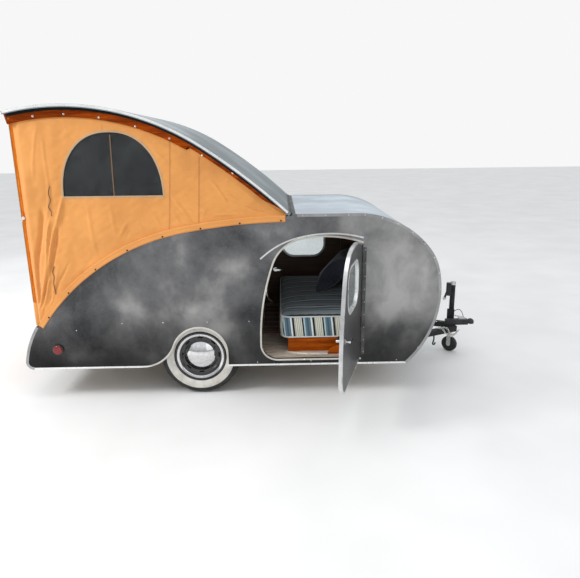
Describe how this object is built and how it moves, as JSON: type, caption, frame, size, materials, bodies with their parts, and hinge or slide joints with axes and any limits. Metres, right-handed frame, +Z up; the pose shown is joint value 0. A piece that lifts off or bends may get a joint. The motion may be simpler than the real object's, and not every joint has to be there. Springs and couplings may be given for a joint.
{
  "type": "teardrop trailer",
  "caption": "Small aluminium teardrop trailer with a raised rear hatch on a folding frame with tan canvas sides, an open side door, an A-frame hitch and a swivelling jack wheel.",
  "frame": {"origin": "centre of the tow ball in the coupler's socket", "axes": "+X forward to the hitch, +Z up, +Y to the trailer's left side"},
  "size_m": [3.8851, 2.3952, 2.2862],
  "materials": {
    "panel_aluminium": "satin",
    "roof_aluminium": "satin",
    "bright_trim": "polished",
    "hinge_steel": "satin",
    "dark_wood": "satin",
    "orange_wood": "satin",
    "canvas": "matte",
    "black_steel": "satin",
    "grey_steel": "satin",
    "wheel_steel": "gloss",
    "tyre_rubber": "matte",
    "jack_rubber": "matte",
    "chrome": "polished",
    "clear_glass": "gloss",
    "red_lens": "gloss",
    "striped_fabric": "matte",
    "navy_fabric": "matte"
  },
  "bodies": {
    "trailer": {"side_wall_right": "panel_aluminium", "side_wall_left": "panel_aluminium", "nose_and_roof": "roof_aluminium", "rear_apron": "roof_aluminium", "floor": "dark_wood", "wheel_tubs": "grey_steel", "roof_header": "dark_wood", "edge_trims": "bright_trim", "side_trims": "bright_trim", "sill_strips": "bright_trim", "drip_rails": "bright_trim", "chassis_rails": "black_steel", "chassis_crossmembers": "black_steel", "tongue_rails": "black_steel", "coupler": "grey_steel", "coupler_latch": "chrome", "axle": "black_steel", "bed_base": "orange_wood", "mattress": "striped_fabric", "pillow": "navy_fabric", "tail_lamp_bezels": "grey_steel", "tail_lamp_lenses": "red_lens", "roof_hinge_leaf": "hinge_steel", "door_hinges": "hinge_steel", "canvas_side_right": "canvas", "canvas_side_left": "canvas", "rear_skirt": "canvas", "jack_bracket": "black_steel"},
    "hatch": {"hatch_skin": "roof_aluminium", "hatch_ribs": "dark_wood", "hatch_bows": "dark_wood", "hatch_hinge_leaf": "hinge_steel"},
    "rear_frame_top": {"rear_frame_upper": "orange_wood", "rear_canvas_upper": "canvas"},
    "rear_frame_bottom": {"rear_frame_lower": "orange_wood", "rear_canvas_lower": "canvas"},
    "door_right": {"door_panel_right": "panel_aluminium", "door_window_frame_right": "bright_trim", "door_glass_right": "clear_glass", "door_handle_right": "chrome", "door_hinge_leaf_right": "hinge_steel"},
    "door_left": {"door_panel_left": "panel_aluminium", "door_window_frame_left": "bright_trim", "door_glass_left": "clear_glass", "door_handle_left": "chrome", "door_hinge_leaf_left": "hinge_steel"},
    "wheel_right": {"tyre_right": "tyre_rubber", "rim_right": "wheel_steel", "hubcap_right": "chrome"},
    "wheel_left": {"tyre_left": "tyre_rubber", "rim_left": "wheel_steel", "hubcap_left": "chrome"},
    "jack": {"jack_tube": "black_steel", "jack_crank": "black_steel"},
    "jack_leg": {"jack_leg": "grey_steel"},
    "jack_wheel": {"jack_wheel": "jack_rubber"}
  },
  "joints": [
    {"name": "hatch_hinge", "type": "hinge", "parent": "trailer", "child": "hatch", "pos_m": [-1.706, 0, 1.148], "axis": [0, -1, 0], "range_deg": [0, 43.1], "deforming": ["canvas_side_right", "canvas_side_left", "rear_skirt"]},
    {"name": "rear_frame_fold_top", "type": "hinge", "parent": "hatch", "child": "rear_frame_top", "pos_m": [-3.74066, 0, 1.85445], "axis": [0, -1, 0], "range_deg": [0, 90]},
    {"name": "rear_frame_fold_middle", "type": "hinge", "parent": "rear_frame_top", "child": "rear_frame_bottom", "pos_m": [-3.74066, 0, 1.10845], "axis": [0, -1, 0], "range_deg": [-23, 0]},
    {"name": "door_right_hinge", "type": "hinge", "parent": "trailer", "child": "door_right", "pos_m": [-1.1635, -0.804, 0.4], "axis": [0, 0, 1], "range_deg": [-73, 35]},
    {"name": "door_left_hinge", "type": "hinge", "parent": "trailer", "child": "door_left", "pos_m": [-1.1635, 0.804, 0.4], "axis": [0, 0, -1], "range_deg": [0, 108]},
    {"name": "wheel_right_spin", "type": "hinge", "parent": "trailer", "child": "wheel_right", "pos_m": [-2.463, -0.68, -0.008], "axis": [0, 1, 0], "continuous": true},
    {"name": "wheel_left_spin", "type": "hinge", "parent": "trailer", "child": "wheel_left", "pos_m": [-2.463, 0.68, -0.008], "axis": [0, 1, 0], "continuous": true},
    {"name": "jack_swing", "type": "hinge", "parent": "trailer", "child": "jack", "pos_m": [-0.14856, 0.11933, 0.075], "axis": [0.4226, 0.9063, 0], "range_deg": [0, 90]},
    {"name": "jack_slide", "type": "slide", "parent": "jack", "child": "jack_leg", "axis": [0, 0, 1], "range_m": [-0.15, 0.05]},
    {"name": "jack_wheel_spin", "type": "hinge", "parent": "jack_leg", "child": "jack_wheel", "pos_m": [-0.14856, 0.11933, -0.26], "axis": [0.682, 0.7314, 0], "continuous": true}
  ],
  "couplings": [
    {"joint": "rear_frame_fold_top", "follows": "hatch_hinge", "ratio": 2.08},
    {"joint": "rear_frame_fold_middle", "follows": "hatch_hinge", "ratio": -0.52}
  ]
}
